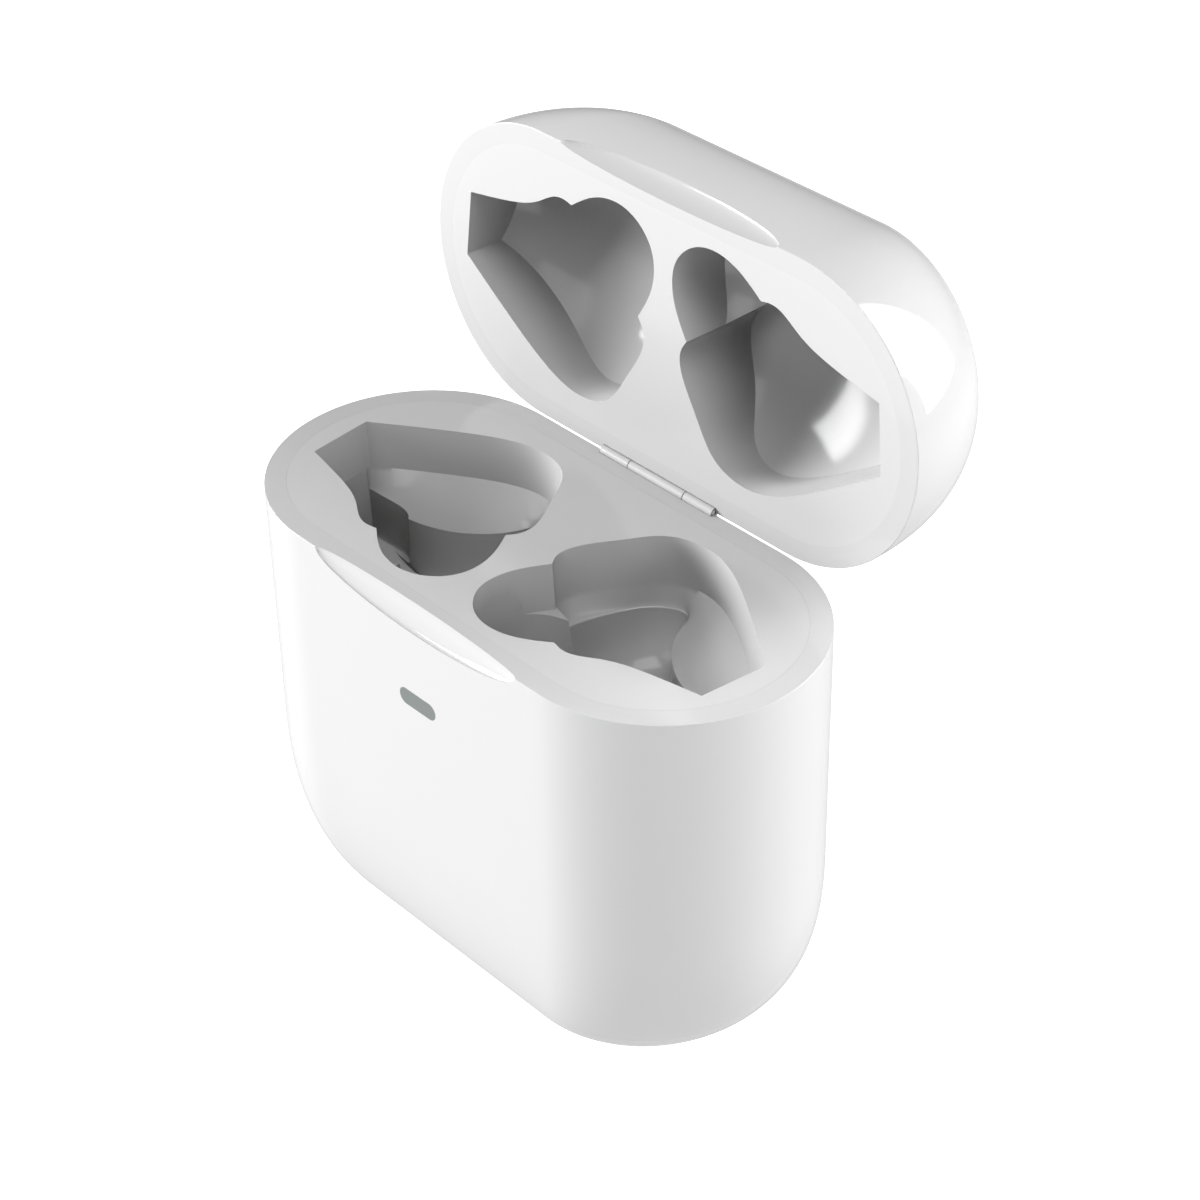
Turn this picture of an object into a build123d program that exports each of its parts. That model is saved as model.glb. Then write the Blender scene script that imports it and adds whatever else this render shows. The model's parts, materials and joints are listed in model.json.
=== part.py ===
from build123d import *
import math
import os

# Charging case for a pair of stem-type wireless earbuds, standing on its flat bottom with the lid open.
# Millimetres. Origin at the centre of the flat bottom, +Z up, front towards -Y, hinge along X at the rear.

# Driving dimensions of the case
case_width = 60.0
case_depth = 28.6
base_height = 41.9
lid_height = 15.2
parting_gap = 0.15
wall = 1.95
floor_thickness = 2.0
open_angle = 91.65

# Rest pad: the part of the underside that touches the table, and how far it stands proud
rest_pad = (27.0, 16.4, 0.12)

# Rounding of the underside and of the lid's top: how far the outline shrinks in X and in Y,
# over what height, and the exponent of the superellipse that the profile follows
base_round = (14.0, 6.4, 17.5, 2.5)
lid_round = (11.0, 5.0, 14.6, 2.0)

# Thumb notch across the parting line
notch_half_width = 13.2
notch_inset = 0.9
notch_drop = 2.5

# Cradle, liner and earbud pockets
seam_gap = 0.04
plate_thickness = 2.0
pocket_centre = (13.6, -0.6, 0.0)
pocket_wall_scale = 1.1
pocket_floor_wall = 1.3
upper_pocket_depth = 5.0
lower_pocket_depth = 12.0
tip_bowl_depth = 14.0
tip_bowl_centre = (6.3, -6.3)
tip_bowl_radius = 4.6
lid_pocket_centre = (10.0, -4.0)
lid_pocket_radii = (18.0, 15.5, 11.0)

# Hinge
knuckle_radius = 0.5
hinge_pin_radius = 0.25
hinge_pin_clearance = 0.03
hinge_half_length = 7.2
lid_knuckle_half = 3.5
knuckle_gap = 0.1
leaf_thickness = 0.4
leaf_y = 13.0
leaf_height = 5.4
hinge_screw_x = 5.0
hinge_screw_radius = 0.5
hinge_screw_drop = 4.0
hinge_head_radius = 0.9
hinge_screw_head_y = 12.32

# Rear button and port
button_z = 22.0
button_radius = 2.4
button_clearance = 0.06
button_travel = 0.35
key_flange = 11.6
switch_front = 9.8
plunger_overlap = 0.4
port_z = 9.6
port_width = 8.94
port_height = 3.26
port_depth = 7.35

# Charging contacts: plungers that spring up through the pocket floors near the stem's end
contact_places = {"rear": (23.0, -1.2), "front": (21.8, -3.1)}
contact_radius = 0.55
contact_clearance = 0.05
contact_travel = 0.6
contact_barrel_radius = 0.85
contact_barrel_length = 3.5
contact_floor_thickness = 0.3

# Boards and battery
board_size = (40.0, 17.0, 0.8)
battery_size = (34.0, 15.6, 8.6)
battery_centre = (0.0, -2.5, 19.6)
tape_thickness = 0.3
side_board_y = 5.6
side_board_thickness = 0.6

half_width = case_width / 2
end_radius = case_depth / 2
straight = half_width - end_radius
lid_floor = base_height + parting_gap
hinge_z = base_height + parting_gap / 2
hinge_axis = Axis((0, end_radius, hinge_z), (1, 0, 0))
stations = 9
on_centre = (Align.CENTER, Align.CENTER, Align.MIN)
from_front = (Align.CENTER, Align.MIN, Align.CENTER)


def stadium(inset):
    """The rim outline moved inward by inset: two straights joined by two half circles."""
    return SlotCenterToCenter(2 * straight, 2 * (end_radius - inset))


def rounded_block(inset, height, rounding):
    """A block of the rim outline that hangs down from Z 0 and rounds off towards its bottom."""
    shrink_x, shrink_y, round_height, power = rounding
    width = half_width - inset
    depth = end_radius - inset
    outline = stadium(inset)
    upright = extrude(Pos(0, 0, round_height - height) * outline, height - round_height)
    sections = []
    for i in range(stations + 1):
        drop = math.sin(math.pi / 2 * i / stations)
        shrink = 1 - (1 - drop**power) ** (1 / power)
        factors = (1 - shrink_x * shrink / width, 1 - shrink_y * shrink / depth, 1)
        sections.append(Pos(0, 0, round_height * (1 - drop) - height) * scale(outline, factors))
    return upright + loft(sections)


def base_block(inset, bottom=0.0):
    """The base's outer form, or with an inset the space inside it, in its place."""
    kept = 1 - 0.1 * inset / wall
    shrink_x, shrink_y, round_height, power = base_round
    rounding = (shrink_x * kept, shrink_y * kept - 0.3 * inset, round_height - 0.7 * inset, power)
    return Pos(0, 0, base_height) * rounded_block(inset, base_height - bottom, rounding)


def lid_block(inset, top=0.0):
    """The lid's outer form, or with an inset the space inside it, closed on the base."""
    rounding = (lid_round[0], lid_round[1] - 0.4 * inset, lid_round[2] - top, lid_round[3])
    block = rounded_block(inset, lid_height - top, rounding)
    return Pos(0, 0, lid_floor) * mirror(block, Plane.XY)


def both_sides(shape):
    """The shape and its mirror image across the middle of the case, as separate solids."""
    return Compound(children=[shape, mirror(shape, Plane.YZ)])


def notch_tool(z):
    """The scoop for the thumb: a flat ellipsoid on the front edge of the rim."""
    scoop = scale(Sphere(1), (notch_half_width, notch_inset, notch_drop))
    return Pos(0, -end_radius, z) * scoop


def pocket_face(factor=1.0):
    """The outline of the right pocket: stem end at the outside, ear-tip lobe in front near the middle."""
    stem_rear = (26.05, 1.75)
    inner_notch = (3.05, -1.15)
    front_notch = (11.7, -8.65)
    stem_front = (25.35, -4.87)
    rear_points = [(18.4, 7.0), (14.2, 9.3), (10.5, 10.1), (7.0, 9.05), (4.4, 5.5), (2.5, -0.3)]
    rear = Spline(stem_rear, *rear_points, inner_notch)
    tip_lobe = Spline(inner_notch, (1.4, -4.5), (1.4, -8.0), (4.3, -10.8), (8.3, -10.7), front_notch)
    front = Spline(front_notch, (13.1, -8.85), (16.1, -7.4), (20.3, -5.9), stem_front)
    outline = make_face([rear, tip_lobe, front, Line(stem_front, stem_rear)])
    return scale(outline, factor, about=pocket_centre)


def floor_face():
    """The outline of the pocket's deeper part, in front of the ledge along its rear wall."""
    stem_front = (24.3, -4.0)
    stem_rear = (24.6, -0.6)
    rear = Spline(stem_rear, (16.5, 3.2), (9.5, 4.6), (4.6, 1.5))
    inner = Spline((4.6, 1.5), (3.2, -3.5), (3.6, -8.0), (7.5, -9.4), (11.7, -7.9))
    front = Spline((11.7, -7.9), (16.1, -6.5), (20.3, -5.1), stem_front)
    return make_face([rear, inner, front, Line(stem_front, stem_rear)])


def tip_bowl(growth, depth):
    """The round-bottomed well for the ear tip."""
    radius = tip_bowl_radius + growth
    well = extrude(Circle(radius), radius - depth)
    return Pos(*tip_bowl_centre) * (well + Pos(0, 0, radius - depth) * Sphere(radius))


def base_pocket():
    """The space of the right base pocket below Z 0: a ledge, a deeper part and the ear tip's well."""
    upper = extrude(Pos(0, 0, 1) * pocket_face(), -upper_pocket_depth - 1)
    lower = extrude(floor_face(), -lower_pocket_depth)
    return upper + lower + tip_bowl(0, tip_bowl_depth)


def base_pocket_block():
    """The plastic around the right base pocket, before the pocket is cut."""
    depth = lower_pocket_depth + pocket_floor_wall
    block = extrude(pocket_face(pocket_wall_scale), -depth)
    return block + tip_bowl(1.0, tip_bowl_depth + pocket_floor_wall)


def lid_pocket():
    """The space of the right lid pocket above Z 0: its roof is part of an ellipsoid."""
    hollow = Pos(lid_pocket_centre[0], lid_pocket_centre[1], 0) * scale(Sphere(1), lid_pocket_radii)
    roofed = extrude(pocket_face(), lid_pocket_radii[2] + 1) & hollow
    return extrude(Pos(0, 0, -1) * pocket_face(), 1) + roofed


def barrel_groove():
    """The round groove that both rims leave for the hinge barrel."""
    groove = Cylinder(knuckle_radius + 0.06, 2 * hinge_half_length + 0.2)
    return Pos(0, end_radius, hinge_z) * Rot(0, 90, 0) * groove


def underside_relief():
    """The thin layer taken off the underside around the rest pad."""
    layer = Box(case_width, case_depth, rest_pad[2], align=on_centre)
    return layer - Box(*rest_pad, align=on_centre)


def screw_seats(z):
    """Clearance for the two hinge screws: a hole for the shank and room for the head inside."""
    shank = Pos(0, 13, 0) * Rot(90, 0, 0) * Cylinder(hinge_screw_radius, 2.0)
    head = Pos(0, hinge_screw_head_y, 0) * Rot(90, 0, 0) * extrude(Circle(hinge_head_radius + 0.05), 2.0)
    return both_sides(Pos(hinge_screw_x, 0, z) * (shank + head))


def make_base_shell(leaf):
    shell = base_block(0) - base_block(wall, floor_thickness)
    shell -= underside_relief()
    shell -= notch_tool(base_height)
    shell -= barrel_groove()
    shell -= leaf
    shell -= screw_seats(hinge_z - hinge_screw_drop)
    shell -= Pos(0, end_radius, button_z) * Rot(90, 0, 0) * Cylinder(button_radius + button_clearance, 6)
    shell -= bezel_form()
    shell -= indicator_form(0, 6)
    for x, y in board_screw_places():
        boss = Pos(x, y, 0) * extrude(Circle(1.7), board_z())
        bore = Pos(x, y, board_z() - 3.0) * extrude(Circle(0.6), 4.0)
        shell += (boss & base_block(0.3, 0.3)) - bore
    return shell


def make_inner_cradle():
    plate = extrude(stadium(wall + seam_gap), -plate_thickness)
    block = base_pocket_block()
    block += mirror(block, Plane.YZ)
    pockets = base_pocket()
    pockets += mirror(pockets, Plane.YZ)
    cradle = plate + block - pockets
    cradle = Pos(0, 0, base_height) * cradle & base_block(wall + seam_gap, floor_thickness)
    for x, y in contact_points():
        drill = Pos(x, y, base_height - lower_pocket_depth) * Cylinder(contact_barrel_radius, 6)
        cradle -= drill
    return cradle


def make_lid_shell(leaf):
    shell = lid_block(0) - lid_block(wall, wall)
    shell -= notch_tool(lid_floor)
    shell -= barrel_groove()
    shell -= leaf
    return shell - screw_seats(hinge_z + hinge_screw_drop)


def make_lid_liner():
    plate = extrude(stadium(wall + seam_gap), 1.6)
    block = extrude(pocket_face(pocket_wall_scale), lid_pocket_radii[2] + pocket_floor_wall)
    block += mirror(block, Plane.YZ)
    pockets = lid_pocket()
    pockets += mirror(pockets, Plane.YZ)
    liner = Pos(0, 0, lid_floor) * (plate + block - pockets)
    return liner & lid_block(wall + seam_gap, wall + seam_gap)


def knuckle(start, end, bore):
    """One knuckle of the hinge barrel between two X positions."""
    tube = Circle(knuckle_radius) - Circle(bore)
    return Pos(start, end_radius, hinge_z) * Rot(0, 90, 0) * extrude(tube, end - start)


def leaf(knuckle_spans, bore, up):
    """A hinge leaf: a plate let into the rear wall, with webs that carry the knuckles."""
    blank = Box(2 * hinge_half_length, leaf_thickness, leaf_height, align=on_centre)
    plate = Pos(0, leaf_y + leaf_thickness / 2, 0.9) * blank
    for x in (-hinge_screw_x, hinge_screw_x):
        plate -= Pos(x, leaf_y, hinge_screw_drop) * Rot(90, 0, 0) * Cylinder(hinge_screw_radius, 2.0)
    for start, end in knuckle_spans:
        web = Box(end - start, end_radius - leaf_y, 0.5, align=(Align.MIN, Align.MIN, Align.MIN))
        plate += Pos(start, leaf_y, 0.42) * web
    if not up:
        plate = mirror(plate, Plane.XY)
    plate = Pos(0, 0, hinge_z) * plate
    for start, end in knuckle_spans:
        plate -= Pos(start, end_radius, hinge_z) * Rot(0, 90, 0) * extrude(Circle(bore), end - start)
        plate += knuckle(start, end, bore)
    return plate


def base_leaf():
    outer = lid_knuckle_half + knuckle_gap
    return leaf([(-hinge_half_length, -outer), (outer, hinge_half_length)], hinge_pin_radius, False)


def lid_leaf():
    spans = [(-lid_knuckle_half, lid_knuckle_half)]
    return leaf(spans, hinge_pin_radius + hinge_pin_clearance, True)


def make_hinge_pin():
    pin = Cylinder(hinge_pin_radius, 2 * hinge_half_length - 0.2)
    return Pos(0, end_radius, hinge_z) * Rot(0, 90, 0) * pin


def hinge_screws(z):
    """Two small screws that hold a leaf from inside the wall."""
    screw = Pos(0, 13.3, 0) * Rot(90, 0, 0) * extrude(Circle(hinge_screw_radius), 1.0)
    screw += Pos(0, hinge_screw_head_y, 0) * Rot(90, 0, 0) * extrude(Circle(hinge_head_radius), 0.45)
    return both_sides(Pos(hinge_screw_x, 0, z) * screw)


def indicator_form(back, length):
    """The pill of the charge light, from the front face inward."""
    pill = Rot(90, 0, 0) * extrude(SlotOverall(4.8, 1.7), length, both=True)
    return Pos(0, back - end_radius, base_height - 9.9) * pill


def make_indicator_lens():
    return indicator_form(0, 1.1) & base_block(0)


def bezel_form():
    """The rounded slot that the port's bezel fills, through the rear wall."""
    slot = SlotOverall(port_width + 1.3, port_height + 1.3)
    return Pos(0, 11.2, port_z) * Rot(-90, 0, 0) * extrude(slot, 4)


def port_slot(growth, start, length):
    """A rounded slot of the socket's outside size plus growth, along Y."""
    slot = SlotOverall(port_width + growth, port_height + growth)
    return Pos(0, start, port_z) * Rot(-90, 0, 0) * extrude(slot, length)


def make_port_bezel():
    return (bezel_form() & base_block(0)) - port_slot(0.06, 10, 6)


def socket_start():
    return 13.75 - port_depth


def make_usb_shell():
    back = socket_start()
    return port_slot(0, back, port_depth) - port_slot(-0.6, back + 0.4, port_depth)


def make_usb_tongue():
    tongue = Box(6.6, 5.6, 0.7, align=from_front)
    return Pos(0, socket_start() + 0.4, port_z) * tongue


def board_z():
    """The underside of the main board, which carries the socket on its top."""
    return port_z - port_height / 2 - board_size[2]


def board_screw_places():
    return [(-16.0, -5.0), (16.0, -5.0)]


def make_main_board():
    board = Pos(0, -0.5, board_z()) * Box(*board_size, align=on_centre)
    for x, y in board_screw_places():
        board -= Pos(x, y, board_z()) * Cylinder(0.8, 4)
    return board


def make_board_screws():
    screws = []
    for x, y in board_screw_places():
        shank = Pos(x, y, board_z() - 2.6) * extrude(Circle(0.6), 2.7 + board_size[2])
        head = Pos(x, y, board_z() + board_size[2]) * extrude(Circle(1.3), 0.7)
        screws.append(shank + head)
    return Compound(children=screws)


def make_board_chips():
    top = board_z() + board_size[2]
    places = [(-8.0, -3.5, 5.0, 5.0, 0.9), (0.5, -4.0, 4.0, 4.0, 0.8), (7.5, -4.5, 3.0, 4.0, 1.2)]
    places += [(-8.0, 3.0, 3.2, 2.5, 1.1)]
    chips = []
    for x, y, width, depth, height in places:
        chips.append(Pos(x, y, top) * Box(width, depth, height, align=on_centre))
    return Compound(children=chips)


def make_battery():
    cell = Pos(*battery_centre) * Box(*battery_size)
    long_edges = cell.edges().filter_by(Axis.X)
    return fillet(long_edges, 1.2)


def battery_bottom():
    return battery_centre[2] - battery_size[2] / 2


def make_battery_tape():
    tape = Box(battery_size[0] - 4, battery_size[1] - 4, tape_thickness, align=on_centre)
    return Pos(battery_centre[0], battery_centre[1], battery_bottom() - tape_thickness) * tape


def make_battery_tray():
    """A flat tray under the battery that stands on four legs beside the board."""
    top = battery_bottom() - tape_thickness
    width = 46.0
    plate = Pos(0, battery_centre[1], top - 1.2) * Box(width, battery_size[1], 1.2, align=on_centre)
    for x in (-21.8, 21.8):
        for y in (-8.0, 3.0):
            plate += Pos(x, y, top - 1.2) * extrude(Circle(1.1), -14)
    for side in (-1, 1):
        lug = Box(1.2, 6.0, 3.0, align=on_centre)
        plate += Pos(side * (battery_size[0] / 2 + 0.9), battery_centre[1] - 2.5, top) * lug
    return plate & base_block(wall, floor_thickness)


def make_battery_leads():
    """Two leads from the cell's end down past the tray to the connector on the board."""
    leads = []
    for y in (-1.2, 0.1):
        points = [(17.0, y, 18.5), (24.4, y, 18.5), (24.4, y, 9.5), (16.4, y, 9.5)]
        route = FilletPolyline(*points, radius=1.0)
        section = Plane(route @ 0, z_dir=route % 0) * Circle(0.4)
        leads.append(sweep(section, path=route))
    return Compound(children=leads)


def make_battery_connector():
    top = board_z() + board_size[2]
    return Pos(15.2, -0.55, top) * Box(2.4, 4.0, 2.0, align=on_centre)


def make_side_board():
    """The upright board behind the battery that carries the switch and the hall sensor."""
    bottom = board_z() + board_size[2]
    height = base_height - plate_thickness - 0.5 - bottom
    board = Box(4.4, side_board_thickness, height, align=(Align.CENTER, Align.MIN, Align.MIN))
    return Pos(0, side_board_y, bottom) * board


def make_hall_sensor():
    face = side_board_y + side_board_thickness
    return Pos(0, face, base_height - 5.0) * Box(2.9, 1.0, 1.6, align=from_front)


def make_button_switch():
    face = side_board_y + side_board_thickness
    body = Pos(0, face, button_z) * Box(3.8, switch_front - face, 3.8, align=from_front)
    bore_depth = plunger_overlap + button_travel + 0.2
    bore = Pos(0, switch_front, button_z) * Rot(90, 0, 0) * Cylinder(0.86, 2 * bore_depth)
    return body - bore


def make_button_cap():
    face = end_radius - 0.05
    cap = Pos(0, face, button_z) * Rot(90, 0, 0) * extrude(Circle(button_radius), face - key_flange)
    rim = cap.faces().sort_by(Axis.Y)[-1].edges()
    cap = fillet(rim, 0.25)
    flange = Pos(0, 12.2, button_z) * Rot(90, 0, 0) * extrude(Circle(3.1), 12.2 - key_flange)
    return cap + flange


def make_switch_plunger():
    length = key_flange - switch_front + plunger_overlap
    return Pos(0, key_flange, button_z) * Rot(90, 0, 0) * extrude(Circle(0.8), length)


def make_status_led():
    return Pos(0, -end_radius + 1.45, base_height - 9.9) * Box(1.6, 0.5, 0.8)


def make_led_flex():
    top = base_height - 7.5
    bottom = board_z() + board_size[2] + 8.0
    strip = Pos(0, -12.2, bottom) * Box(2.0, 0.12, top - bottom, align=on_centre)
    return strip


def contact_points():
    return [(side * x, y) for side in (1, -1) for x, y in contact_places.values()]


def contact_floor():
    return base_height - lower_pocket_depth


def contact_bottom():
    return contact_floor() - contact_barrel_length


def make_contact_barrels():
    barrels = []
    for x, y in contact_points():
        outer = Pos(x, y, contact_bottom()) * extrude(Circle(contact_barrel_radius), contact_barrel_length)
        bore = extrude(Circle(contact_radius + contact_clearance), contact_barrel_length)
        barrels.append(outer - Pos(x, y, contact_bottom() + contact_floor_thickness) * bore)
    return Compound(children=barrels)


def spring_top():
    return contact_bottom() + contact_floor_thickness + contact_travel + 0.9


def make_contact_pin(x, y):
    """A plunger with a rounded tip that stands a little above the pocket floor."""
    length = contact_floor() + 0.25 - spring_top()
    stem = Pos(x, y, spring_top()) * extrude(Circle(contact_radius), length)
    return stem + Pos(x, y, contact_floor() + 0.25) * Sphere(contact_radius)


def make_contact_spring(x, y):
    """A small coil spring that stands between the barrel's bottom and the plunger."""
    wire = 0.07
    foot = contact_bottom() + contact_floor_thickness
    height = spring_top() - foot - 2 * wire - 0.02
    path = Helix(pitch=height / 4, height=height, radius=contact_radius - 0.15)
    coil = sweep(Plane(path @ 0, z_dir=path % 0) * Circle(wire), path=path)
    return Pos(x, y, foot + wire + 0.01) * coil


def make_contact_flex():
    z = contact_bottom()
    strip = Pos(0, -2.4, z) * Box(48.4, 4.4, 0.15, align=(Align.CENTER, Align.CENTER, Align.MAX))
    tail = Pos(0, -2.4, z) * Box(3.0, side_board_y + 2.4, 0.15, align=(Align.CENTER, Align.MIN, Align.MAX))
    return strip + tail


def make_earbud_magnets():
    top = base_height - lower_pocket_depth - pocket_floor_wall
    magnet = Pos(15.0, 1.8, top - 1.6) * extrude(Circle(2.4), 1.6)
    return both_sides(magnet)


def closure_magnets(bottom):
    magnet = Pos(19.8, -9.25, bottom) * Box(3.6, 2.0, 2.0, align=on_centre)
    return both_sides(magnet)


def make_sensor_magnet():
    return Pos(0, 6.8, lid_floor + 1.6) * Box(4.0, 2.0, 1.5, align=on_centre)


def make_base_parts():
    base_hinge_leaf = base_leaf()
    parts = {
        "base_shell": make_base_shell(base_hinge_leaf),
        "inner_cradle": make_inner_cradle(),
        "indicator_lens": make_indicator_lens(),
        "status_led": make_status_led(),
        "led_flex": make_led_flex(),
        "main_board": make_main_board(),
        "board_chips": make_board_chips(),
        "board_screws": make_board_screws(),
        "usb_c_shell": make_usb_shell(),
        "usb_c_tongue": make_usb_tongue(),
        "port_bezel": make_port_bezel(),
        "battery_cell": make_battery(),
        "battery_tape": make_battery_tape(),
        "battery_tray": make_battery_tray(),
        "battery_leads": make_battery_leads(),
        "battery_connector": make_battery_connector(),
        "side_board": make_side_board(),
        "hall_sensor": make_hall_sensor(),
        "button_switch": make_button_switch(),
        "pairing_button": make_button_cap(),
        "switch_plunger": make_switch_plunger(),
        "contact_barrels": make_contact_barrels(),
        "contact_flex": make_contact_flex(),
        "earbud_magnets": make_earbud_magnets(),
        "base_closure_magnets": closure_magnets(base_height - plate_thickness - 2.0),
        "hinge_base_leaf": base_hinge_leaf,
        "hinge_pin": make_hinge_pin(),
        "base_hinge_screws": hinge_screws(hinge_z - hinge_screw_drop),
    }
    for side, sign in (("right", 1), ("left", -1)):
        for place, (x, y) in contact_places.items():
            parts[f"contact_pin_{side}_{place}"] = make_contact_pin(sign * x, y)
            parts[f"contact_spring_{side}_{place}"] = make_contact_spring(sign * x, y)
    return parts


def make_lid_parts():
    lid_hinge_leaf = lid_leaf()
    closed = {
        "lid_shell": make_lid_shell(lid_hinge_leaf),
        "lid_liner": make_lid_liner(),
        "hinge_lid_leaf": lid_hinge_leaf,
        "lid_hinge_screws": hinge_screws(hinge_z + hinge_screw_drop),
        "lid_closure_magnets": closure_magnets(lid_floor + 1.6),
        "lid_sensor_magnet": make_sensor_magnet(),
    }
    return {name: shape.rotate(hinge_axis, -open_angle) for name, shape in closed.items()}


os.makedirs("parts", exist_ok=True)
for node, shape in {**make_base_parts(), **make_lid_parts()}.items():
    export_step(shape, f"parts/{node}.step")
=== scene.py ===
"""Looks for the wireless earbuds case: housings, pocket inserts, materials, light and camera."""

import json
import math

import bmesh
import bpy
import numpy as np
from mathutils import Matrix, Vector


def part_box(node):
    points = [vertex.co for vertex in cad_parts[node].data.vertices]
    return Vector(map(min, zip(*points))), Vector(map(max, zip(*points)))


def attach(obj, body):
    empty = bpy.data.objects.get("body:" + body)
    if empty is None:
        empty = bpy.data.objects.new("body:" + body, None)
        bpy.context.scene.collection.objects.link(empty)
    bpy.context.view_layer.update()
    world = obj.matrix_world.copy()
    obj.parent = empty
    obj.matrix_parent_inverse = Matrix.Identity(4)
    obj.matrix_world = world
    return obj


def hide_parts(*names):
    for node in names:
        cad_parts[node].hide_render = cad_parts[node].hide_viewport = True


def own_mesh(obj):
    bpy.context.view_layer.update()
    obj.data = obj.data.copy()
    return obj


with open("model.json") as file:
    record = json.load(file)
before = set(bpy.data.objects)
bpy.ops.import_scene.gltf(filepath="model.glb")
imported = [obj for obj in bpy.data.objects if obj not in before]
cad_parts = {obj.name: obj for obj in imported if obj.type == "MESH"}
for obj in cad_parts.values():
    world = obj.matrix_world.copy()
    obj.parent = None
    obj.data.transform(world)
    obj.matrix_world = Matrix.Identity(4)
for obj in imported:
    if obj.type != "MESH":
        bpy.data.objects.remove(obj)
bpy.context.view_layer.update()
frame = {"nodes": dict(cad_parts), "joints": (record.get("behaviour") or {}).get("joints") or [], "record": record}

# The shapes below are worked out in millimetres and scaled when a piece is made.
MM = 0.001
shell_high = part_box("base_shell")[1] / MM

# Case, from the frame
HALF_WIDTH = shell_high.x
HALF_DEPTH = shell_high.y
RIM = shell_high.z
HINGE = Vector(next(j for j in frame["joints"] if j["name"] == "lid_hinge")["pos_m"]) / MM
OPEN_ANGLE = next(j for j in frame["joints"] if j["name"] == "lid_hinge")["range_deg"][1]
PARTING_GAP = 2 * (HINGE.z - RIM)
LID_RIM = RIM + PARTING_GAP
STRAIGHT = HALF_WIDTH - HALF_DEPTH

# Housings
LID_HEIGHT = 15.2
WALL = 1.95
FLOOR = 2.0
RIM_EDGE = 0.07
SHARP_ANGLE = 26

# Rounding of the underside, of the space inside it and of the lid: shrink in X, in Y, height, exponent
BASE_ROUND = (14.0, 6.4, 17.5, 2.5)
HOLLOW_ROUND = (12.6, 5.16, 16.1, 2.5)
LID_ROUND = (11.0, 5.0, 14.6, 2.0)
# The lid's space shrinks this much less in Y for each millimetre that it lies inside the housing.
LID_SHRINK_RELIEF = 0.4

# Openings: the thumb notch's radii, then each round hole's or groove's radius and depth or half length
NOTCH_RADII = (13.2, 0.9, 2.5)
BUTTON_HOLE = 2.46
BUTTON_HOLE_DEPTH = 1.5
BARREL_GROOVE = 0.56
BARREL_REACH = 7.3
CONTACT_HOLE = 0.86
# A contact's hole runs this far below and above the floor of the stem's hole.
CONTACT_HOLE_DEPTH = 4.0
CONTACT_HOLE_TOP = 0.3
# A wall slot's tool reaches this far past both faces of the node set in it.
SLOT_REACH = 2.5

# A tool stands out of the surface it cuts by CLEAR, or by MOUTH over a pocket. Joined tools share OVERLAP.
CLEAR = 2.0
MOUTH = 1.0
OVERLAP = 0.5

# Pocket inserts: the plates, and the closed cups round the pockets, a little larger than their outline
SEAM = 0.08
BASE_PLATE = 2.0
LID_PLATE = 1.6
CUP_GROWTH = 1.1
BASE_CUP_DEPTH = 14.0
LID_CUP_DEPTH = 12.3

# Pockets in the base: depths of the wall, of the shelf's lip, of the contacts' floor and of the hole
SHELF_DEPTH = 4.7
LIP_DEPTH = 7.0
CONTACT_DEPTH = 12.0
HOLE_DEPTH = 12.6
# The whole pocket narrows by this share over its depth, and its wall's foot has this size beside its mouth.
POCKET_DRAFT = 0.06
WALL_FOOT = 0.975
# Depth of the straight walls of the lid's pocket
LID_POCKET_DEPTH = 12.0

# Points along an end's arc, a straight side and a rounded profile, and rings on a rim and an upright wall
ARC_STEPS = 72
LINE_STEPS = 40
PROFILE_STEPS = 44
EDGE_STEPS = 4
UPRIGHT_STEPS = 12
CIRCLE_STEPS = 48
SLOT_STEPS = 64
DRAFT_STEPS = 8
SHAFT_STEPS = 16

# Points along the stretches of a pocket's edge
REAR_STEPS = 90
LOBE_STEPS = 60
FRONT_STEPS = 50
STEM_END_STEPS = 16
DIVIDE_STEPS = 12
NEAR_STEPS = 60
STEM_HOLE_STEPS = 48


# ---------------------------------------------------------------- mesh tools

def new_object(name, vertices, faces):
    mesh = bpy.data.meshes.new(name)
    mesh.from_pydata([tuple(v) for v in vertices], [], faces)
    mesh.validate()
    made = bpy.data.objects.new(name, mesh)
    bpy.context.scene.collection.objects.link(made)
    return made


def lofted(rings):
    """A closed solid through loops of equal point counts, with a flat cap at each end."""
    count = len(rings[0])
    vertices = np.concatenate(rings)
    faces = []
    for level in range(len(rings) - 1):
        a, b = level * count, (level + 1) * count
        for i in range(count):
            j = (i + 1) % count
            faces.append((a + i, a + j, b + j, b + i))
    faces.append(tuple(range(count - 1, -1, -1)))
    last = (len(rings) - 1) * count
    faces.append(tuple(range(last, last + count)))
    made = new_object("solid", vertices, faces)
    outward(made)
    return made


def outward(made):
    """Turns the faces of a closed mesh outward."""
    work = bmesh.new()
    work.from_mesh(made.data)
    bmesh.ops.recalc_face_normals(work, faces=work.faces)
    work.to_mesh(made.data)
    work.free()


def ellipsoid(centre, radii, steps=128):
    work = bmesh.new()
    bmesh.ops.create_uvsphere(work, u_segments=steps, v_segments=steps // 2, radius=1.0)
    mesh = bpy.data.meshes.new("ellipsoid")
    work.to_mesh(mesh)
    work.free()
    made = bpy.data.objects.new("ellipsoid", mesh)
    bpy.context.scene.collection.objects.link(made)
    mesh.transform(Matrix.Translation(centre) @ Matrix.Diagonal((*radii, 1)))
    return made


def combine(body, tools, operation):
    """The boolean of body with every tool. The tools are used up."""
    for tool in tools:
        step = body.modifiers.new("cut", "BOOLEAN")
        step.operation = operation
        step.solver = "EXACT"
        step.object = tool
        depsgraph = bpy.context.evaluated_depsgraph_get()
        result = bpy.data.meshes.new_from_object(body.evaluated_get(depsgraph))
        body.modifiers.clear()
        body.data = result
        bpy.data.objects.remove(tool)
    return body


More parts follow.
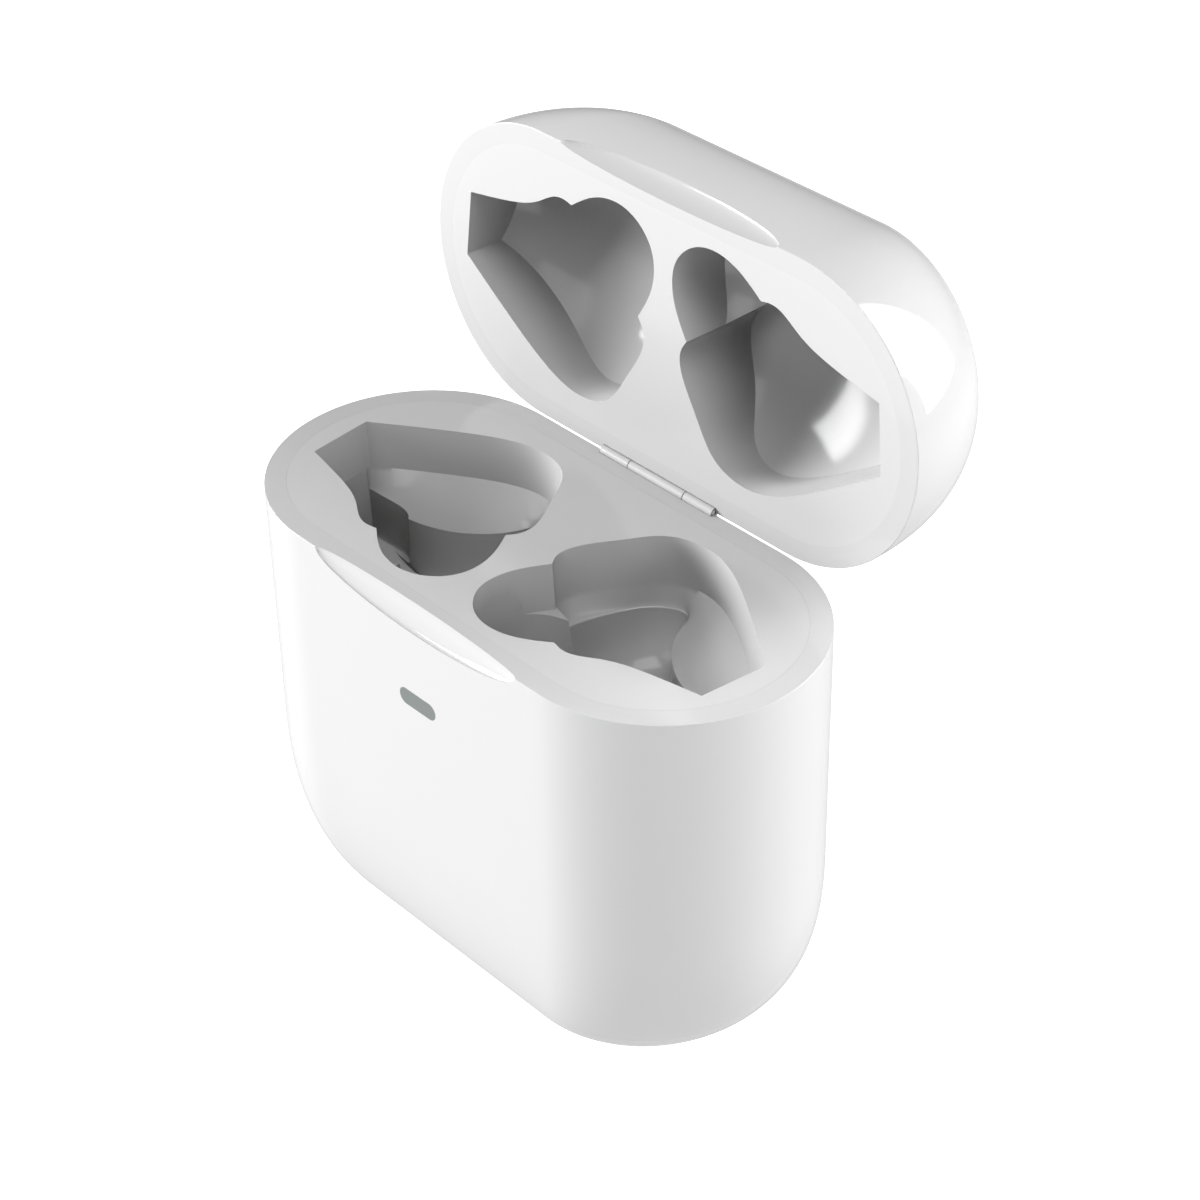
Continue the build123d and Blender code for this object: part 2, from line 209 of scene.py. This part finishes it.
def cut(body, *tools):
    return combine(body, tools, "DIFFERENCE")


def fuse(body, *tools):
    return combine(body, tools, "UNION")


def mirrored(made):
    """A copy of the object on the other side of the case's middle plane."""
    copy = bpy.data.objects.new(made.name, made.data.copy())
    bpy.context.scene.collection.objects.link(copy)
    copy.data.transform(Matrix.Diagonal((-1, 1, 1, 1)))
    copy.data.flip_normals()
    return copy


def finished(made, name, body, replaced, material):
    """Turns a shape in millimetres into a piece of the object."""
    made.name = name
    made.data.name = name
    made.data.transform(Matrix.Scale(MM, 4))
    made.data.materials.clear()
    made.data.materials.append(material)
    for polygon in made.data.polygons:
        polygon.material_index = 0
    made.data.shade_smooth()
    made.data.set_sharp_from_angle(angle=math.radians(SHARP_ANGLE))
    weighted = made.modifiers.new("normals", "WEIGHTED_NORMAL")
    weighted.keep_sharp = True
    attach(made, body)
    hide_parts(*replaced)
    return made


def corners(node):
    """The low and high corner of a CAD node's box, in millimetres."""
    return [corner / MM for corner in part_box(node)]


# ---------------------------------------------------------------- outlines

def at_height(loop, z):
    """A loop of X and Y points as points at height z."""
    return np.column_stack([loop, np.full(len(loop), z)])


def stadium(inset, z, factors=(1.0, 1.0)):
    """The rim outline moved inward, as a loop of points at height z."""
    radius = HALF_DEPTH - inset
    points = []
    for side in (1, -1):
        for i in range(ARC_STEPS):
            angle = math.pi * (i / ARC_STEPS) - math.pi / 2
            points.append((side * (STRAIGHT + radius * math.cos(angle)), side * radius * math.sin(angle)))
        for i in range(LINE_STEPS):
            points.append((side * STRAIGHT * (1 - 2 * i / LINE_STEPS), side * radius))
    return at_height(np.array(points) * factors, z)


def rounded_shrink(drop, power):
    """How far a rounded profile has come in, 0 to 1, where it has gone down by drop, 0 to 1."""
    return 1 - (1 - drop**power) ** (1 / power)


def housing_rings(inset, height, rounding, edge):
    """Loops from the rim at Z 0 down to the flat end at Z -height."""
    shrink_x, shrink_y, round_height, power = rounding
    width, depth = HALF_WIDTH - inset, HALF_DEPTH - inset
    rings = []
    for i in range(EDGE_STEPS + 1):
        angle = math.pi / 2 * i / EDGE_STEPS
        rings.append(stadium(inset + edge * (1 - math.sin(angle)), -edge * (1 - math.cos(angle))))
    upright = height - round_height
    for i in range(1, UPRIGHT_STEPS):
        rings.append(stadium(inset, -edge - (upright - edge) * i / UPRIGHT_STEPS))
    for i in range(PROFILE_STEPS + 1):
        drop = math.sin(math.pi / 2 * i / PROFILE_STEPS)
        shrink = rounded_shrink(drop, power)
        factors = (1 - shrink_x * shrink / width, 1 - shrink_y * shrink / depth)
        rings.append(stadium(inset, -upright - round_height * drop, factors))
    return rings


def circle(radius):
    angles = np.linspace(0, 2 * math.pi, CIRCLE_STEPS, endpoint=False)
    return radius * np.column_stack([np.cos(angles), np.sin(angles)])


def spline(points, steps):
    """A natural cubic spline through the points, without its last point."""
    points = np.array(points, float)
    lengths = np.linalg.norm(np.diff(points, axis=0), axis=1)
    knots = np.concatenate([[0], np.cumsum(lengths)])
    n = len(points)
    system = np.zeros((n, n))
    right = np.zeros((n, 2))
    system[0, 0] = system[-1, -1] = 1
    for i in range(1, n - 1):
        h0, h1 = lengths[i - 1], lengths[i]
        system[i, i - 1:i + 2] = h0, 2 * (h0 + h1), h1
        right[i] = 6 * ((points[i + 1] - points[i]) / h1 - (points[i] - points[i - 1]) / h0)
    bend = np.linalg.solve(system, right)
    out = []
    for s in np.linspace(0, knots[-1], steps, endpoint=False):
        i = min(np.searchsorted(knots, s, side="right") - 1, n - 2)
        h = lengths[i]
        a, b = knots[i + 1] - s, s - knots[i]
        value = bend[i] * a**3 / (6 * h) + bend[i + 1] * b**3 / (6 * h)
        value += (points[i] / h - bend[i] * h / 6) * a + (points[i + 1] / h - bend[i + 1] * h / 6) * b
        out.append(value)
    return np.array(out)


# Corners of the right pocket's edge on the parting face, in X and Y, as the CAD model has them
STEM_REAR, STEM_FRONT = (26.05, 1.75), (25.35, -4.87)
INNER_NOTCH, FRONT_NOTCH = (3.05, -1.15), (11.7, -8.65)
POCKET_MIDDLE = np.array([13.6, -0.6])


def rear_edge():
    return spline([STEM_REAR, (18.4, 7.0), (14.2, 9.3), (10.5, 10.1), (7.0, 9.05), (4.4, 5.5), (2.5, -0.3),
                   INNER_NOTCH], REAR_STEPS)


def lobe_edge():
    return spline([INNER_NOTCH, (1.4, -4.5), (1.4, -8.0), (4.3, -10.8), (8.3, -10.7), FRONT_NOTCH],
                  LOBE_STEPS)


def front_edge():
    front = spline([FRONT_NOTCH, (13.1, -8.85), (16.1, -7.4), (20.3, -5.9), STEM_FRONT], FRONT_STEPS)
    return np.concatenate([front, spline([STEM_FRONT, STEM_REAR], STEM_END_STEPS)])


def pocket_outline(scale=1.0):
    """The whole edge, scaled about the middle of the pocket."""
    edge = np.concatenate([rear_edge(), lobe_edge(), front_edge()])
    return POCKET_MIDDLE + (edge - POCKET_MIDDLE) * scale


# ---------------------------------------------------------------- housings

def base_housing():
    body = lofted(housing_rings(0, RIM, BASE_ROUND, RIM_EDGE))
    hollow = lofted([stadium(WALL, CLEAR)] + housing_rings(WALL, RIM - FLOOR, HOLLOW_ROUND, RIM_EDGE))
    cut(body, hollow)
    body.data.transform(Matrix.Translation((0, 0, RIM)))
    return body


def lid_solid(inset, edge, top):
    """The closed lid's shape as one solid, moved in by inset and with its top lowered by top."""
    rounding = (LID_ROUND[0], LID_ROUND[1] - LID_SHRINK_RELIEF * inset, LID_ROUND[2] - top, LID_ROUND[3])
    body = lofted(housing_rings(inset, LID_HEIGHT - top, rounding, edge))
    body.data.transform(Matrix.Translation((0, 0, LID_RIM)) @ Matrix.Diagonal((1, 1, -1, 1)))
    outward(body)
    return body


def lid_space():
    """The space inside the lid's housing."""
    return lid_solid(WALL, 0.0, WALL)


def notch(z):
    return ellipsoid((0, -HALF_DEPTH, z), NOTCH_RADII, steps=160)


def barrel_groove():
    loop = circle(BARREL_GROOVE) + (HINGE.y, HINGE.z)
    return lofted([np.column_stack([np.full(len(loop), x), loop]) for x in (-BARREL_REACH, BARREL_REACH)])


def opened(made):
    """Turns a lid shape from its closed place to its open place."""
    turn = Matrix.Rotation(math.radians(-OPEN_ANGLE), 4, "X")
    made.data.transform(Matrix.Translation(HINGE) @ turn @ Matrix.Translation(-HINGE))
    return made


def slot_tool(centre, width, height, front, rear):
    """A fully rounded slot along Y, width by height, from Y front to Y rear."""
    radius = min(width, height) / 2
    loop = []
    for step in range(SLOT_STEPS):
        # Half a step in, so that no point falls between two of the slot's quarters
        angle = 2 * math.pi * (step + 0.5) / SLOT_STEPS
        x = math.copysign(width / 2 - radius, math.cos(angle)) + radius * math.cos(angle)
        z = math.copysign(height / 2 - radius, math.sin(angle)) + radius * math.sin(angle)
        loop.append((x, z))
    rings = [np.array([(centre.x + x, y, centre.z + z) for x, z in loop]) for y in (front, rear)]
    return lofted(rings)


def opening_for(node):
    """A slot tool with the outline of a CAD node set in the front or rear wall."""
    low, high = corners(node)
    width, height = high.x - low.x, high.z - low.z
    return slot_tool((low + high) / 2, width, height, low.y - SLOT_REACH, high.y + SLOT_REACH)


def button_hole():
    low, high = corners("pairing_button")
    size = 2 * BUTTON_HOLE
    return slot_tool((low + high) / 2, size, size, high.y - BUTTON_HOLE_DEPTH, high.y + CLEAR)


def make_base_housing(material):
    body = base_housing()
    cut(body, notch(RIM), barrel_groove())
    cut(body, opening_for("indicator_lens"), opening_for("port_bezel"), button_hole())
    return finished(body, "base_housing", "base", ["base_shell"], material)


def make_lid_housing(material):
    body = lid_solid(0, RIM_EDGE, 0)
    cut(body, lid_space(), notch(LID_RIM), barrel_groove())
    return finished(opened(body), "lid_housing", "lid", ["lid_shell"], material)


# ---------------------------------------------------------------- pocket inserts

# In the right pocket of the base, in X and Y: where the shelf drops to the hole, the hole's near edge,
# and the edge of the hole for the stem
LIP_INNER = (3.6, -1.0)
LIP_POINTS = [(25.4, 1.1), (19.2, 0.7), (15.2, 2.0), (12.2, 4.4), (10.6, 7.0), (9.6, 8.8), (7.2, 8.0),
              (5.1, 5.0), (3.7, 0.4), LIP_INNER]
NEAR_POINTS = [LIP_INNER, (5.8, -1.6), (8.2, -2.6), (10.3, -4.4), (11.8, -6.9), (13.6, -7.7), (16.1, -6.7),
               (20.3, -5.4), (25.0, -4.7)]
STEM_HOLE_POINTS = [(25.7, 1.2), (22.6, 1.3), (19.4, 0.9), (18.6, -1.8), (19.6, -4.4), (22.6, -5.0),
                    (25.3, -4.7)]

# The hollows' rounding exponents, and the share of their mouth that their floor keeps
HOLE_FORM = (3.0, 0.3)
STEM_HOLE_FORM = (8.0, 0.86)

# Ellipsoids for the ear tip's well in the base and for the floors of the lid's pocket: centre, radii
EAR_TIP_WELL = ((6.3, -6.3, -4.0), (5.2, 4.9, 9.0))
LID_FLOOR = ((10.5, -4.7, -1.5), (19.5, 16.5, 12.3))
LID_TIP_FLOOR = ((6.0, -6.5, 0.0), (8.0, 7.5, 8.0))
# The main hollow's closing line lies between the notches, and the ear tip's runs through here, inside it.
TIP_OVERLAP = (9.6, -4.6)


def pocket_prism(depth, draft, top):
    """A drafted prism of the pocket's outline from Z top down to Z -depth."""
    rings = [at_height(pocket_outline(), top), at_height(pocket_outline(), 0.0)]
    for i in range(1, DRAFT_STEPS + 1):
        share = i / DRAFT_STEPS
        rings.append(at_height(pocket_outline(1 - draft * share), -depth * share))
    return lofted(rings)


def shaft(loop, top, depth, form):
    """A hole from Z top to Z -depth whose walls round into its floor."""
    power, floor_share = form
    middle = loop.mean(axis=0)
    rings = []
    for i in range(SHAFT_STEPS + 1):
        drop = math.sin(math.pi / 2 * i / SHAFT_STEPS)
        size = 1 - (1 - floor_share) * rounded_shrink(drop, power)
        rings.append(at_height(middle + (loop - middle) * size, top - (top + depth) * drop))
    return lofted(rings)


def shelf_scoop(lip, near):
    """The hollow above the shelf, which slopes from the foot of the wall to the lip of the hole."""
    shelf = pocket_outline(WALL_FOOT)[:REAR_STEPS]
    rings = []
    for i in range(DRAFT_STEPS + 1):
        share = i / DRAFT_STEPS
        drop = math.sin(math.pi / 2 * share)
        rear = shelf + (lip - shelf) * share
        rings.append(at_height(np.concatenate([rear, near]), -SHELF_DEPTH - (LIP_DEPTH - SHELF_DEPTH) * drop))
    rings.insert(0, rings[0] + (0, 0, OVERLAP))
    return lofted(rings)


def base_pocket():
    """The right pocket: a short wall, a scooped shelf behind a deep hole, and a well for the ear tip."""
    lip = spline(LIP_POINTS, REAR_STEPS)
    near = spline(NEAR_POINTS, NEAR_STEPS)
    stem = spline(STEM_HOLE_POINTS, STEM_HOLE_STEPS)
    wall = lofted([at_height(pocket_outline(), MOUTH), at_height(pocket_outline(), 0.0),
                   at_height(pocket_outline(WALL_FOOT), -SHELF_DEPTH)])
    scoop = shelf_scoop(lip, near)
    hole = shaft(np.concatenate([lip, near]), -SHELF_DEPTH + OVERLAP, HOLE_DEPTH, HOLE_FORM)
    stem_hole = shaft(stem, -SHELF_DEPTH + OVERLAP, CONTACT_DEPTH, STEM_HOLE_FORM)
    well = ellipsoid(*EAR_TIP_WELL)
    limit = pocket_prism(BASE_CUP_DEPTH, POCKET_DRAFT, CLEAR)
    return combine(fuse(wall, scoop, hole, stem_hole, well), [limit], "INTERSECT")


def contact_hole(pin):
    """The hole in the pocket's floor for a contact's barrel, below the rim at Z 0."""
    low, high = corners(pin)
    loop = circle(CONTACT_HOLE) + ((low.x + high.x) / 2, (low.y + high.y) / 2)
    bottom, top = -CONTACT_DEPTH - CONTACT_HOLE_DEPTH, -CONTACT_DEPTH + CONTACT_HOLE_TOP
    return lofted([at_height(loop, bottom), at_height(loop, top)])


def make_base_insert(material):
    plate = lofted([stadium(WALL + SEAM, 0.0), stadium(WALL + SEAM, -BASE_PLATE)])
    cup_loop = pocket_outline(CUP_GROWTH)
    cup = lofted([at_height(cup_loop, -OVERLAP), at_height(cup_loop, -BASE_CUP_DEPTH)])
    other = mirrored(cup)
    fuse(plate, cup, other)
    pocket = base_pocket()
    cut(plate, mirrored(pocket), pocket)
    cut(plate, *(contact_hole(pin) for pin in frame["nodes"] if pin.startswith("contact_pin")))
    plate.data.transform(Matrix.Translation((0, 0, RIM)))
    return finished(plate, "pocket_insert", "base", ["inner_cradle"], material)


def lid_hollow(loop, floor, steps):
    """A straight-walled hollow with the loop's outline and an ellipsoid's rounded floor."""
    walls = lofted([at_height(loop, -MOUTH), at_height(loop, LID_POCKET_DEPTH)])
    return combine(walls, [ellipsoid(*floor, steps=steps)], "INTERSECT")


def lid_pocket():
    """The right pocket of the lid: a main hollow and, past a straight step, one for the ear tip."""
    main = np.concatenate([rear_edge(), spline([INNER_NOTCH, FRONT_NOTCH], DIVIDE_STEPS), front_edge()])
    lobe = np.concatenate([lobe_edge(), spline([FRONT_NOTCH, TIP_OVERLAP, INNER_NOTCH], DIVIDE_STEPS)])
    return fuse(lid_hollow(main, LID_FLOOR, steps=192), lid_hollow(lobe, LID_TIP_FLOOR, steps=128))


def make_lid_insert(material):
    plate = lofted([stadium(WALL, 0.0), stadium(WALL, LID_PLATE)])
    cup_loop = pocket_outline(CUP_GROWTH)
    cup = lofted([at_height(cup_loop, OVERLAP), at_height(cup_loop, LID_CUP_DEPTH)])
    fuse(plate, mirrored(cup), cup)
    pocket = lid_pocket()
    cut(plate, mirrored(pocket), pocket)
    plate.data.transform(Matrix.Translation((0, 0, LID_RIM)))
    plate = combine(plate, [lid_space()], "INTERSECT")
    return finished(opened(plate), "lid_insert", "lid", ["lid_liner"], material)


# ---------------------------------------------------------------- materials

def principled(name, color, roughness, metallic=0.0, coat=0.0, ior=1.6):
    material = bpy.data.materials.new(name)
    material.use_nodes = True
    shader = material.node_tree.nodes["Principled BSDF"]
    shader.inputs["Base Color"].default_value = (*color, 1)
    shader.inputs["Roughness"].default_value = roughness
    shader.inputs["Metallic"].default_value = metallic
    shader.inputs["Coat Weight"].default_value = coat
    shader.inputs["IOR"].default_value = ior
    return material, material.node_tree, shader


def placed(tree, stretch=(1, 1, 1)):
    """Object coordinates, stretched along the axes."""
    place = tree.nodes.new("ShaderNodeTexCoord")
    mapping = tree.nodes.new("ShaderNodeMapping")
    mapping.inputs["Scale"].default_value = stretch
    tree.links.new(place.outputs["Object"], mapping.inputs["Vector"])
    return mapping.outputs["Vector"]


def noise(tree, vector, scale, detail=3.0):
    texture = tree.nodes.new("ShaderNodeTexNoise")
    texture.inputs["Scale"].default_value = scale
    texture.inputs["Detail"].default_value = detail
    tree.links.new(vector, texture.inputs["Vector"])
    return texture.outputs["Fac"]


def cells(tree, vector, scale):
    texture = tree.nodes.new("ShaderNodeTexVoronoi")
    texture.inputs["Scale"].default_value = scale
    tree.links.new(vector, texture.inputs["Vector"])
    return texture.outputs["Distance"]


def lines(tree, vector, scale, direction, distortion=0.0):
    texture = tree.nodes.new("ShaderNodeTexWave")
    texture.bands_direction = direction
    texture.inputs["Scale"].default_value = scale
    texture.inputs["Distortion"].default_value = distortion
    tree.links.new(vector, texture.inputs["Vector"])
    return texture.outputs["Fac"]


def spread(tree, value, low, high, start=0.0, end=1.0):
    """The value from start to end brought to the range low to high."""
    remap = tree.nodes.new("ShaderNodeMapRange")
    remap.inputs["From Min"].default_value = start
    remap.inputs["From Max"].default_value = end
    remap.inputs["To Min"].default_value = low
    remap.inputs["To Max"].default_value = high
    tree.links.new(value, remap.inputs["Value"])
    return remap.outputs["Result"]


def tinted(tree, shader, share, first, second):
    """Base colour between two tints."""
    blend = tree.nodes.new("ShaderNodeMix")
    blend.data_type = "RGBA"
    blend.inputs["A"].default_value = (*first, 1)
    blend.inputs["B"].default_value = (*second, 1)
    tree.links.new(share, blend.inputs["Factor"])
    tree.links.new(blend.outputs["Result"], shader.inputs["Base Color"])


def shaded(color, factor):
    return [channel * factor for channel in color]


def glossed(tree, shader, share, low, high):
    """Roughness between two values."""
    tree.links.new(spread(tree, share, low, high), shader.inputs["Roughness"])


def relief(tree, shader, height, strength, distance):
    bump = tree.nodes.new("ShaderNodeBump")
    bump.inputs["Strength"].default_value = strength
    bump.inputs["Distance"].default_value = distance * MM
    tree.links.new(height, bump.inputs["Height"])
    tree.links.new(bump.outputs["Normal"], shader.inputs["Normal"])


def moulded(name, color, roughness, grain, strength, shade=0.985, ior=1.6):
    """Moulded plastic or paint: faint cloudiness in colour and gloss, and a fine surface ripple."""
    material, tree, shader = principled(name, color, roughness, ior=ior)
    vector = placed(tree)
    cloud = noise(tree, vector, scale=140, detail=4)
    tinted(tree, shader, cloud, shaded(color, shade), color)
    glossed(tree, shader, cloud, roughness * 0.8, roughness * 1.2)
    relief(tree, shader, noise(tree, vector, grain), strength, distance=0.02)
    return material


def textured(name, color, roughness, grain, depth):
    """Plastic or foam with an eroded texture from its mould, or open cells."""
    material, tree, shader = principled(name, color, roughness)
    vector = placed(tree)
    pits = cells(tree, vector, grain)
    tinted(tree, shader, pits, shaded(color, 0.8), color)
    glossed(tree, shader, noise(tree, vector, scale=300), roughness * 0.85, roughness * 1.1)
    relief(tree, shader, pits, strength=0.5, distance=depth)
    return material


def metal(name, color, roughness, stretch, grain, strength):
    """Metal with brushed or rolled lines along its least stretched axis."""
    material, tree, shader = principled(name, color, roughness, metallic=1.0)
    streaks = noise(tree, placed(tree, stretch), grain, detail=6)
    blotches = noise(tree, placed(tree), scale=400)
    tinted(tree, shader, blotches, shaded(color, 0.88), color)
    glossed(tree, shader, streaks, roughness * 0.6, roughness * 1.5)
    relief(tree, shader, streaks, strength, distance=0.01)
    return material


def solder_mask():
    """Green lacquer over copper tracks, which show lighter and stand a little proud."""
    mask, track = (0.008, 0.09, 0.035), (0.03, 0.22, 0.09)
    material, tree, shader = principled("circuit_board", mask, roughness=0.28, coat=0.4)
    vector = placed(tree)
    stripes = lines(tree, vector, scale=420, direction="DIAGONAL", distortion=1.5)
    tracks = spread(tree, stripes, low=0, high=1, start=0.62, end=0.72)
    islands = spread(tree, cells(tree, vector, scale=330), low=0, high=1, start=0.42, end=0.5)
    both = tree.nodes.new("ShaderNodeMath")
    both.operation = "MAXIMUM"
    tree.links.new(tracks, both.inputs[0])
    tree.links.new(islands, both.inputs[1])
    tinted(tree, shader, both.outputs["Value"], mask, track)
    relief(tree, shader, both.outputs["Value"], strength=0.6, distance=0.03)
    return material


def polyimide():
    """Amber film with copper lines under it."""
    film, copper = (0.30, 0.13, 0.02), (0.62, 0.30, 0.12)
    material, tree, shader = principled("flex", film, roughness=0.35)
    stripes = lines(tree, placed(tree), scale=900, direction="X")
    tracks = spread(tree, stripes, low=0, high=1, start=0.55, end=0.68)
    tinted(tree, shader, tracks, film, copper)
    relief(tree, shader, tracks, strength=0.5, distance=0.02)
    return material


def pouch_foil():
    """Aluminium laminate: soft, with shallow dents and creases."""
    dull, bright = (0.62, 0.62, 0.64), (0.76, 0.76, 0.77)
    material, tree, shader = principled("battery_foil", (0.72, 0.72, 0.73), roughness=0.32, metallic=1.0)
    dents = noise(tree, placed(tree), scale=160, detail=5)
    tinted(tree, shader, dents, dull, bright)
    glossed(tree, shader, dents, low=0.22, high=0.42)
    relief(tree, shader, dents, strength=0.6, distance=0.08)
    return material


def light_window():
    """Translucent grey plastic over the status light."""
    color = (0.25, 0.28, 0.272)
    material, tree, shader = principled("grey_lens", color, roughness=0.3)
    specks = noise(tree, placed(tree), scale=2500, detail=2)
    tinted(tree, shader, specks, shaded(color, 0.93), shaded(color, 1.05))
    glossed(tree, shader, specks, low=0.25, high=0.36)
    relief(tree, shader, specks, strength=0.3, distance=0.01)
    return material


def make_materials():
    """One material for each slot of the record."""
    return {
        "white_shell": moulded("white_shell", (0.88, 0.88, 0.88), roughness=0.05, grain=900, strength=0.01),
        "white_inner": moulded("white_inner", (0.89, 0.89, 0.89), roughness=0.11, grain=900, strength=0.01,
                               ior=1.42),
        "hinge_paint": moulded("hinge_paint", (0.86, 0.86, 0.86), roughness=0.22, grain=2600, strength=0.25,
                               shade=0.95),
        "steel": metal("steel", (0.62, 0.62, 0.63), roughness=0.24, stretch=(1, 8, 8), grain=500,
                       strength=0.35),
        "gold": metal("gold", (0.83, 0.66, 0.32), roughness=0.16, stretch=(5, 5, 1), grain=900, strength=0.2),
        "grey_lens": light_window(),
        "led": textured("led", (0.85, 0.80, 0.40), roughness=0.45, grain=3500, depth=0.01),
        "circuit_board": solder_mask(),
        "flex": polyimide(),
        "black_plastic": textured("black_plastic", (0.02, 0.02, 0.02), roughness=0.5, grain=2500, depth=0.02),
        "frame_plastic": textured("frame_plastic", (0.74, 0.74, 0.72), roughness=0.48, grain=1800,
                                  depth=0.02),
        "battery_foil": pouch_foil(),
        "battery_tape": textured("battery_tape", (0.05, 0.05, 0.05), roughness=0.9, grain=1200, depth=0.08),
        "lead_insulation": moulded("lead_insulation", (0.42, 0.02, 0.02), roughness=0.42, grain=2200,
                                   strength=0.3, shade=0.8),
        "magnet": metal("magnet", (0.62, 0.61, 0.58), roughness=0.2, stretch=(1, 1, 1), grain=1500,
                        strength=0.3),
    }


# ---------------------------------------------------------------- stage

# Softboxes round the case: name, (azimuth, elevation) in degrees, watts. Azimuth 0 is the front.
SOFTBOXES = [
    ("key_left", (-60, 12), 8.2),
    ("front_high", (0, 40), 0.95),
    ("top_right", (60, 68), 1.65),
    ("right", (90, 12), 1.5),
    ("rear_right", (150, 12), 4.0),
    ("rear_high", (150, 40), 2.25),
    ("bounce", (30, -15), 1.0),
]
# Metres: the boxes' side, their distance and the point that they face
SOFTBOX_SIZE = 0.42
SOFTBOX_DISTANCE = 0.8
SOFTBOX_AIM = Vector((0, 0.005, 0.035))

# The world's grey at heights from 0, straight down, to 1, straight up
WORLD_GREYS = [(0.0, 0.69), (0.3, 0.69), (0.42, 0.0), (1.0, 0.0)]

# Metres: the ground's half side and the dome's radius, and how far the ground lies under the case
BACKDROP_SIZE = 3.0
GROUND_DROP = 0.0002
BACKDROP_GLOW = 0.95

# The camera's place, in degrees and millimetres: it looks at the aim point, then moves across and up.
CAMERA_DIRECTION = (48.09, 35.54)
CAMERA_ROLL = -1.05
CAMERA_DISTANCE = 266.47
CAMERA_ACROSS = 5.08
CAMERA_UP = 8.89
CAMERA_AIM = Vector((0, 0, 25))
CAMERA_LENS = 88.63
CAMERA_SENSOR = 36.0
# Metres: the nearest and the furthest that the camera sees
CAMERA_CLIP = (0.01, 20)


def toward(direction):
    """The unit vector from the case at an azimuth and an elevation in degrees."""
    azimuth, elevation = (math.radians(a) for a in direction)
    level = math.cos(elevation)
    return Vector((math.sin(azimuth) * level, -math.cos(azimuth) * level, math.sin(elevation)))


def softbox(name, direction, power):
    data = bpy.data.lights.new(name, "AREA")
    data.shape = "SQUARE"
    data.size = SOFTBOX_SIZE
    data.energy = power
    lamp = bpy.data.objects.new(name, data)
    bpy.context.scene.collection.objects.link(lamp)
    lamp.location = SOFTBOX_AIM + toward(direction) * SOFTBOX_DISTANCE
    lamp.rotation_euler = toward(direction).to_track_quat("Z", "Y").to_euler()


def studio_world():
    """A dark room over a pale ground, so that the softboxes give the shape."""
    world = bpy.data.worlds.new("studio")
    bpy.context.scene.world = world
    world.use_nodes = True
    tree = world.node_tree
    background = tree.nodes["Background"]
    place = tree.nodes.new("ShaderNodeTexCoord")
    split = tree.nodes.new("ShaderNodeSeparateXYZ")
    tree.links.new(place.outputs["Generated"], split.inputs["Vector"])
    height = spread(tree, split.outputs["Z"], low=0.0, high=1.0, start=-1.0, end=1.0)
    ramp = tree.nodes.new("ShaderNodeValToRGB")
    stops = ramp.color_ramp.elements
    while len(stops) < len(WORLD_GREYS):
        stops.new(0.5)
    for stop, (position, grey) in zip(stops, WORLD_GREYS):
        stop.position = position
        stop.color = (grey, grey, grey, 1)
    tree.links.new(height, ramp.inputs["Fac"])
    tree.links.new(ramp.outputs["Color"], background.inputs["Color"])
    background.inputs["Strength"].default_value = 1.0


def make_backdrop():
    """A white ground and a white dome that only the camera sees, so that they don't change the light."""
    size = BACKDROP_SIZE
    square = [(-size, -size, 0), (size, -size, 0), (size, size, 0), (-size, size, 0)]
    ground = new_object("floor", square, [(0, 1, 2, 3)])
    ground.location.z = -GROUND_DROP
    dome = ellipsoid((0, 0, 0), (size, size, size))
    material = bpy.data.materials.new("backdrop_white")
    material.use_nodes = True
    shader = material.node_tree.nodes["Principled BSDF"]
    shader.inputs["Base Color"].default_value = (0.9, 0.9, 0.9, 1)
    shader.inputs["Emission Color"].default_value = (1, 1, 1, 1)
    shader.inputs["Emission Strength"].default_value = BACKDROP_GLOW
    for piece in (ground, dome):
        piece.data.materials.append(material)
        piece.visible_diffuse = False
        piece.visible_glossy = False
        piece.visible_shadow = False


def make_camera():
    back = toward(CAMERA_DIRECTION)
    right = (-back).cross(Vector((0, 0, 1))).normalized()
    up = right.cross(-back)
    roll = math.radians(CAMERA_ROLL)
    axis_x = math.cos(roll) * right + math.sin(roll) * up
    axis_y = math.cos(roll) * up - math.sin(roll) * right
    data = bpy.data.cameras.new("camera")
    data.lens = CAMERA_LENS
    data.sensor_width = CAMERA_SENSOR
    data.clip_start, data.clip_end = CAMERA_CLIP
    camera = bpy.data.objects.new("camera", data)
    bpy.context.scene.collection.objects.link(camera)
    place = CAMERA_AIM + back * CAMERA_DISTANCE + axis_x * CAMERA_ACROSS + axis_y * CAMERA_UP
    turn = Matrix((axis_x, axis_y, back)).transposed().to_4x4()
    camera.matrix_world = Matrix.Translation(place * MM) @ turn
    bpy.context.scene.camera = camera


# ---------------------------------------------------------------- the scene

materials = make_materials()
make_base_housing(materials["white_shell"])
make_lid_housing(materials["white_shell"])
make_base_insert(materials["white_inner"])
make_lid_insert(materials["white_inner"])
for part in frame["record"]["subparts"]:
    mesh = frame["nodes"][part["node"]].data
    mesh.materials.clear()
    mesh.materials.append(materials[part["material_slot"]])

# Each contact pin's spring gets a mesh of its own, not shared with any other node.
for joint in frame["joints"]:
    if joint["name"].startswith("pin_"):
        spring = "contact_spring_" + joint["name"].removeprefix("pin_").removesuffix("_press")
        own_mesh(frame["nodes"][spring])

make_camera()
studio_world()
for name, direction, power in SOFTBOXES:
    softbox(name, direction, power)
make_backdrop()
bpy.context.scene.view_settings.view_transform = "Standard"
bpy.context.scene.cycles.diffuse_bounces = 0
